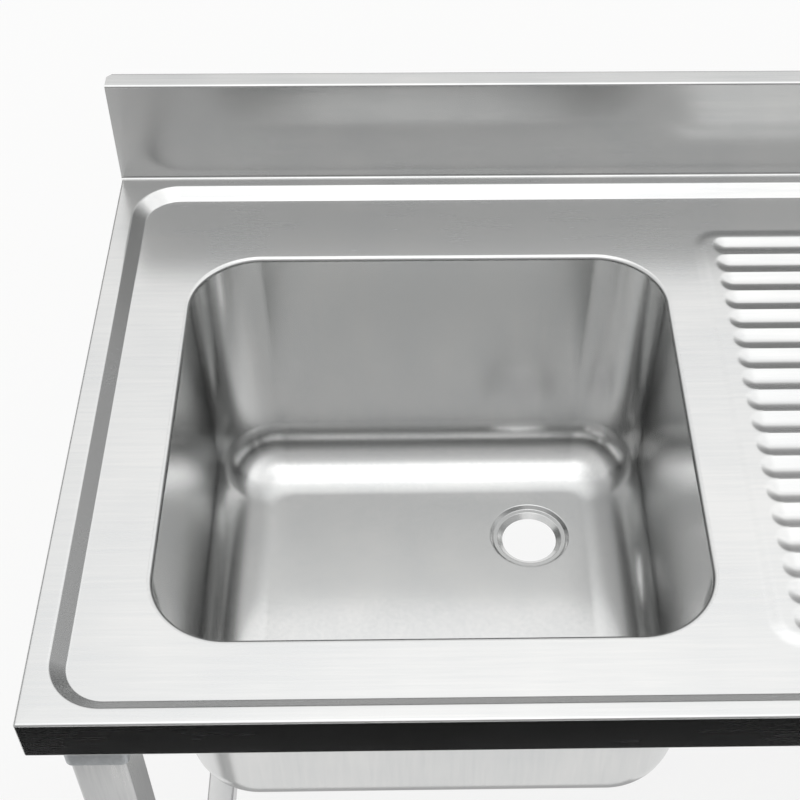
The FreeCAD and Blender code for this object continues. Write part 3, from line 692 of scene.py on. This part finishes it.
def spindleMesh(name, x, y, low, high):
    bm = bmesh.new()
    s = spindle
    radius = s["radius"]
    start, end = s["hexBottom"] + s["hexHeight"], high - s["point"]
    count = round((end - start) / s["pitch"] * s["rowsPerPitch"])
    rings = [threadRing(x, y, low, radius, 0), threadRing(x, y, start, radius, 0)]
    for step in range(1, count):
        z = start + (end - start) * step / count
        shallow = min((z - start) / s["runOut"], (end - z) / s["runOut"], 1.0)
        rings.append(threadRing(x, y, z, radius, s["threadDepth"] * shallow))
    rings += [threadRing(x, y, end, radius, 0), threadRing(x, y, high, radius - s["point"], 0)]
    rows = loftRings(bm, rings)
    # Hexagon with its corners chamfered by a cone at both ends
    apothem = s["hexFlats"] / 2
    inner = apothem * s["shoulderShare"]
    slant = math.tan(math.radians(s["hexChamferDegrees"]))
    turns = [math.tau * step / s["hexSteps"] for step in range(s["hexSteps"])]
    sixth = math.tau / 6
    reach = [apothem / math.cos(a % sixth - sixth / 2) for a in turns]
    top, bottom = s["hexBottom"] + s["hexHeight"], s["hexBottom"]
    hexRings = [circleRing(x, y, bottom, inner, s["hexSteps"])]
    for z, sign in ((bottom, 1), (top, -1)):
        hexRings.append([Vector((x + r * math.cos(a), y + r * math.sin(a), z + sign * (r - inner) * slant))
                         for a, r in zip(turns, reach)])
    hexRings.append(circleRing(x, y, top, inner, s["hexSteps"]))
    hexRows = loftRings(bm, hexRings)
    for row in (rows[0], rows[-1], hexRows[0], hexRows[-1]):
        bm.faces.new(row)
    bmesh.ops.recalc_face_normals(bm, faces=bm.faces)
    return newPiece(name, bm)


def padMesh(name, x, y, radius, height, pinFoot):
    bm = bmesh.new()
    p = pad
    outline = filletedPath([(p["soleInner"], 0), (radius, 0), (radius, p["rimHeight"]),
                            (p["neckRadius"] + p["collar"], height - p["collarHeight"]),
                            (p["neckRadius"], height), (p["bore"], height)],
                           [p["rimRound"], p["rimRound"], p["skirtRound"], p["neckRound"]], p["roundSteps"])
    outline.insert(0, Vector((p["soleInner"] - p["soleStep"], p["soleRecess"])))
    outline.append(Vector((p["bore"], pinFoot)))
    rings = []
    for r, z in outline:
        # Flutes fade in above the rim and out towards the neck
        share = max(0.0, 1 - abs(2 * (z - p["rimHeight"]) / (height - p["rimHeight"]) - 1))
        ring = []
        for step in range(p["steps"]):
            turn = math.tau * step / p["steps"]
            cut = p["fluteDepth"] * share * (1 - math.cos(p["flutes"] * turn))
            ring.append(Vector((x + (r - cut) * math.cos(turn), y + (r - cut) * math.sin(turn), z)))
        rings.append(ring)
    rows = loftRings(bm, rings)
    bm.faces.new(rows[0])
    bm.faces.new(rows[-1])
    bmesh.ops.recalc_face_normals(bm, faces=bm.faces)
    return newPiece(name, bm)


places = ["front_left", "front_right", "rear_left", "rear_right"]
footCentres = {}
for place in places:
    stemLow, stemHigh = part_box("foot_stem_" + place)
    padLow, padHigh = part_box("foot_pad_" + place)
    x, y = (padLow.x + padHigh.x) / 2, (padLow.y + padHigh.y) / 2
    footCentres[place] = (x, y)
    stemPiece = spindleMesh("threaded_spindle_" + place, x, y, stemLow.z, stemHigh.z)
    smoothShade(stemPiece, spindle["creaseDegrees"])
    finishPiece(stemPiece, spindlePlate, "foot_" + place, ["foot_stem_" + place])
    padPiece = padMesh("fluted_pad_" + place, x, y, (padHigh.x - padLow.x) / 2, padHigh.z, stemLow.z)
    smoothShade(padPiece, pad["creaseDegrees"])
    finishPiece(padPiece, footNylon, "foot_" + place, ["foot_pad_" + place])
print("feet made:", len(stemPiece.data.polygons), "faces a spindle")


# Weld beads: where the side braces meet the legs, and where the leg sockets meet their plates

weld = {"pitch": 1.3 * mm, "radius": 1.8 * mm, "smallest": 0.88, "largest": 1.12, "seed": 7,
        "segments": 10, "rings": 6, "corner": 2.5 * mm, "cornerSteps": 4, "braceHalf": 15 * mm,
        "socketHalf": 22.9 * mm, "shortOfCorner": 0.8}
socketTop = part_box("leg_front_left")[1].z


def beadPaths():
    # Lines that the beads follow, as loose edges
    bm = bmesh.new()
    w = weld
    for side in ("left", "right"):
        braceLow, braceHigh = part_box("side_brace_" + side)
        x, z = (braceLow.x + braceHigh.x) / 2, (braceLow.z + braceHigh.z) / 2
        half = w["braceHalf"]
        outline = roundedRing(-half, -half, half, half, w["corner"], 0, w["cornerSteps"])
        for y in (braceLow.y, braceHigh.y):
            loopEdges(bm, [bm.verts.new((x + point.x, y, z + point.y)) for point in outline])
    # Beads on the two inner sides of each socket, which the apron doesn't hide
    for x, y in footCentres.values():
        inX, inY = math.copysign(w["socketHalf"], -x), math.copysign(w["socketHalf"], -y)
        corners = [(x - inX * w["shortOfCorner"], y + inY), (x + inX, y + inY),
                   (x + inX, y - inY * w["shortOfCorner"])]
        loopEdges(bm, [bm.verts.new((cx, cy, socketTop)) for cx, cy in corners], closed=False)
    return newPiece("weld_beads", bm)


def beadTree():
    # Overlapping drops of weld metal along the paths
    tree = bpy.data.node_groups.new("weld bead ripples", "GeometryNodeTree")
    tree.interface.new_socket("Geometry", in_out="INPUT", socket_type="NodeSocketGeometry")
    sizes = {"Pitch": weld["pitch"], "Radius": weld["radius"], "Smallest": weld["smallest"],
             "Largest": weld["largest"]}
    for name in sizes:
        tree.interface.new_socket(name, in_out="INPUT", socket_type="NodeSocketFloat")
    tree.interface.new_socket("Steel", in_out="INPUT", socket_type="NodeSocketMaterial")
    tree.interface.new_socket("Geometry", in_out="OUTPUT", socket_type="NodeSocketGeometry")
    given = addNode(tree, "NodeGroupInput").outputs
    curve = addNode(tree, "GeometryNodeMeshToCurve", {"Mesh": given["Geometry"]}).outputs[0]
    points = addNode(tree, "GeometryNodeResampleCurve", {"Curve": curve, "Length": given["Pitch"]},
                     mode="LENGTH").outputs[0]
    drop = addNode(tree, "GeometryNodeMeshUVSphere", {"Segments": weld["segments"], "Rings": weld["rings"],
                                                      "Radius": given["Radius"]}).outputs["Mesh"]
    size = addNode(tree, "FunctionNodeRandomValue", {"Min": given["Smallest"], "Max": given["Largest"],
                                                     "Seed": weld["seed"]}, data_type="FLOAT")
    drops = addNode(tree, "GeometryNodeInstanceOnPoints", {"Points": points, "Instance": drop}).outputs[0]
    sized = addNode(tree, "GeometryNodeScaleInstances", {"Instances": drops,
                                                         "Scale": size.outputs[1]}).outputs[0]
    real = addNode(tree, "GeometryNodeRealizeInstances", {0: sized}).outputs[0]
    smooth = addNode(tree, "GeometryNodeSetShadeSmooth", {0: real}).outputs[0]
    steel = addNode(tree, "GeometryNodeSetMaterial", {"Geometry": smooth, "Material": given["Steel"]})
    addNode(tree, "NodeGroupOutput", {"Geometry": steel.outputs[0]})
    return tree, sizes


beadPiece = beadPaths()
beads, beadSizes = beadTree()
beading = beadPiece.modifiers.new("beads", "NODES")
beading.node_group = beads
setInputs(beading, {**beadSizes, "Steel": fastenerSteel})
applyModifiers(beadPiece)
finishPiece(beadPiece, fastenerSteel, "table")
print("weld beads made:", len(beadPiece.data.polygons), "faces")


# Nodes whose CAD shape is right get their finish

finishes = {
    "splash_end": endPlateSteel, "bowl_sound_pad": matRubber, "middle_channel": millSteel,
    "drainer_channel": millSteel, "leg_socket": millSteel, "leg_grub_screws": fastenerSteel,
    "rear_brace_bolts": fastenerSteel, "rear_brace_plugs": insertNylon, "rear_brace": braceSteel,
    "side_brace": braceSteel, "foot_insert": insertNylon, "leg": tubeSteel,
}
for name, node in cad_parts.items():
    found = [key for key in finishes if name.startswith(key)]
    if found:
        node.data.materials.clear()
        node.data.materials.append(finishes[max(found, key=len)])
print("CAD nodes finished")


# Camera: the photograph's view, found by fitting a pinhole to the table's edges

camera = {"place": (-330.8 * mm, -817.3 * mm, 1702.7 * mm), "down": 48.381, "turn": -1.374, "roll": 0.505,
          "focalPixels": 1476.3, "centrePixel": (439.7, 451.0), "imagePixels": 800, "sensor": 36.0}
lens = bpy.data.cameras.new("photo camera")
lens.sensor_width = camera["sensor"]
lens.lens = camera["sensor"] * camera["focalPixels"] / camera["imagePixels"]
lens.shift_x = 0.5 - camera["centrePixel"][0] / camera["imagePixels"]
lens.shift_y = camera["centrePixel"][1] / camera["imagePixels"] - 0.5
view = bpy.data.objects.new("photo camera", lens)
turn = Matrix.Rotation(math.radians(camera["turn"]), 4, "Z")
tilt = Matrix.Rotation(math.radians(90 - camera["down"]), 4, "X")
roll = Matrix.Rotation(math.radians(camera["roll"]), 4, "Z")
view.matrix_world = Matrix.Translation(camera["place"]) @ (turn @ tilt) @ roll
bpy.context.scene.collection.objects.link(view)
bpy.context.scene.camera = view
print("camera set")


# Studio: floor, cards and sky

studioFloor = {"half": 12.0, "colour": "#F4F4F3", "whiteShare": 0.7}
corner = studioFloor["half"]
# Matt and pale, and mostly white to the camera and in the steel, so that only a soft shadow is left
floorPiece = levelSheet("studio_floor", (-corner, -corner), (corner, corner), 0)
floorLook, floorTree = newMaterial("pale studio floor")
path = addNode(floorTree, "ShaderNodeLightPath").outputs
seen = addNode(floorTree, "ShaderNodeMath", {0: path["Is Camera Ray"], 1: path["Is Glossy Ray"]},
               operation="MAXIMUM").outputs[0]
seenShare = addNode(floorTree, "ShaderNodeMath", {0: seen, 1: studioFloor["whiteShare"]},
                    operation="MULTIPLY").outputs[0]
matt = addNode(floorTree, "ShaderNodeBsdfDiffuse", {"Color": linear(studioFloor["colour"])}).outputs[0]
white = addNode(floorTree, "ShaderNodeEmission", {"Strength": 1.0}).outputs[0]
floorShade = addNode(floorTree, "ShaderNodeMixShader", {0: seenShare, 1: matt, 2: white}).outputs[0]
addNode(floorTree, "ShaderNodeOutputMaterial", {"Surface": floorShade})
floorPiece.data.materials.append(floorLook)

# A dark flag before the apron, a grey card under the bowl and one on the floor for the upstand's
# left end, all seen only in the steel
cards = {
    "card_front_flag": {"low": (-0.85, -0.60), "high": (1.0, -0.325), "z": 0.72, "colour": "#161616"},
    "card_under_bowl": {"low": (-0.55, -0.25), "high": (-0.09, 0.20), "z": 0.42, "colour": "#B4B4B4"},
    "card_left_floor": {"low": (-1.45, -1.75), "high": (-0.75, -0.75), "z": 0.02, "colour": "#ADADAD"},
}
for cardName, card in cards.items():
    cardPiece = levelSheet(cardName, card["low"], card["high"], card["z"])
    cardLook, cardTree = newMaterial(cardName.replace("_", " "))
    cardGlow = addNode(cardTree, "ShaderNodeEmission", {"Color": linear(card["colour"]),
                                                        "Strength": 1.0}).outputs[0]
    addNode(cardTree, "ShaderNodeOutputMaterial", {"Surface": cardGlow})
    cardPiece.data.materials.append(cardLook)
    cardPiece.visible_camera = False
    cardPiece.visible_diffuse = False
    cardPiece.visible_shadow = False
    cardPiece.visible_transmission = False

# What the steel mirrors of the studio, as (degrees above the horizon, strength) on each side: a large
# softbox overhead, pale walls and a dim foot to each
skyGlow = {
    "rear": [(0, 0.15), (15, 0.20), (30, 0.85), (42, 1.15), (52, 1.15), (60, 1.35), (90, 2.00)],
    "right": [(0, 0.40), (20, 0.20), (29, 0.60), (36, 1.50), (44, 1.45), (54, 1.25), (72, 1.20), (90, 2.00)],
    "front": [(0, 0.05), (20, 0.40), (36, 0.60), (44, 0.66), (52, 0.95), (60, 1.80), (72, 2.00), (90, 2.00)],
    "left": [(0, 0.08), (15, 0.30), (30, 0.80), (42, 0.95), (54, 0.80), (72, 1.10), (90, 2.00)],
}
world = bpy.data.worlds.new("studio")
bpy.context.scene.world = world
world.use_nodes = True
skyTree = world.node_tree
skyTree.nodes.clear()


def glowRamp(elevation, stops):
    # Grey of a strength by height above the horizon, which runs from 0 to 1 overhead
    ramp = addNode(skyTree, "ShaderNodeValToRGB", {"Fac": elevation})
    while len(ramp.color_ramp.elements) < len(stops):
        ramp.color_ramp.elements.new(1.0)
    for element, (degrees, strength) in zip(ramp.color_ramp.elements, stops):
        element.position = degrees / 90
        element.color = (strength, strength, strength, 1.0)
    return ramp.outputs["Color"]


def skyMix(share, low, high):
    return addNode(skyTree, "ShaderNodeMix", {0: share, 6: low, 7: high}, data_type="RGBA").outputs[2]


sideBlend = 2.0  # how late the side walls take over from the front and rear ones
toSky = addNode(skyTree, "ShaderNodeTexCoord").outputs["Generated"]
towards = addNode(skyTree, "ShaderNodeSeparateXYZ", {0: toSky}).outputs
rise = addNode(skyTree, "ShaderNodeMath", {0: towards[2]}, operation="ARCSINE").outputs[0]
elevation = addNode(skyTree, "ShaderNodeMath", {0: rise, 1: 2 / math.pi}, operation="MULTIPLY").outputs[0]
flat = addNode(skyTree, "ShaderNodeCombineXYZ", {"X": towards[0], "Y": towards[1]}).outputs[0]
level = addNode(skyTree, "ShaderNodeVectorMath", {0: flat}, operation="NORMALIZE").outputs[0]
sideways = addNode(skyTree, "ShaderNodeSeparateXYZ", {0: level}).outputs[0]
sideShare = addNode(skyTree, "ShaderNodeMath", {0: sideways, 1: sideBlend}, operation="POWER").outputs[0]
toRear = addNode(skyTree, "ShaderNodeMath", {0: towards[1], 1: 0.0}, operation="GREATER_THAN").outputs[0]
toRight = addNode(skyTree, "ShaderNodeMath", {0: towards[0], 1: 0.0}, operation="GREATER_THAN").outputs[0]
glow = {side: glowRamp(elevation, stops) for side, stops in skyGlow.items()}
lengthwise = skyMix(toRear, glow["front"], glow["rear"])
sidewise = skyMix(toRight, glow["left"], glow["right"])
mirrored = skyMix(sideShare, lengthwise, sidewise)
isGlossy = addNode(skyTree, "ShaderNodeLightPath").outputs["Is Glossy Ray"]
skyColour = skyMix(isGlossy, linear("#FFFFFF"), mirrored)
sky = addNode(skyTree, "ShaderNodeBackground", {"Color": skyColour, "Strength": 1.0}).outputs[0]
addNode(skyTree, "ShaderNodeOutputWorld", {"Surface": sky})
bpy.context.scene.view_settings.view_transform = "Standard"
print("studio made")
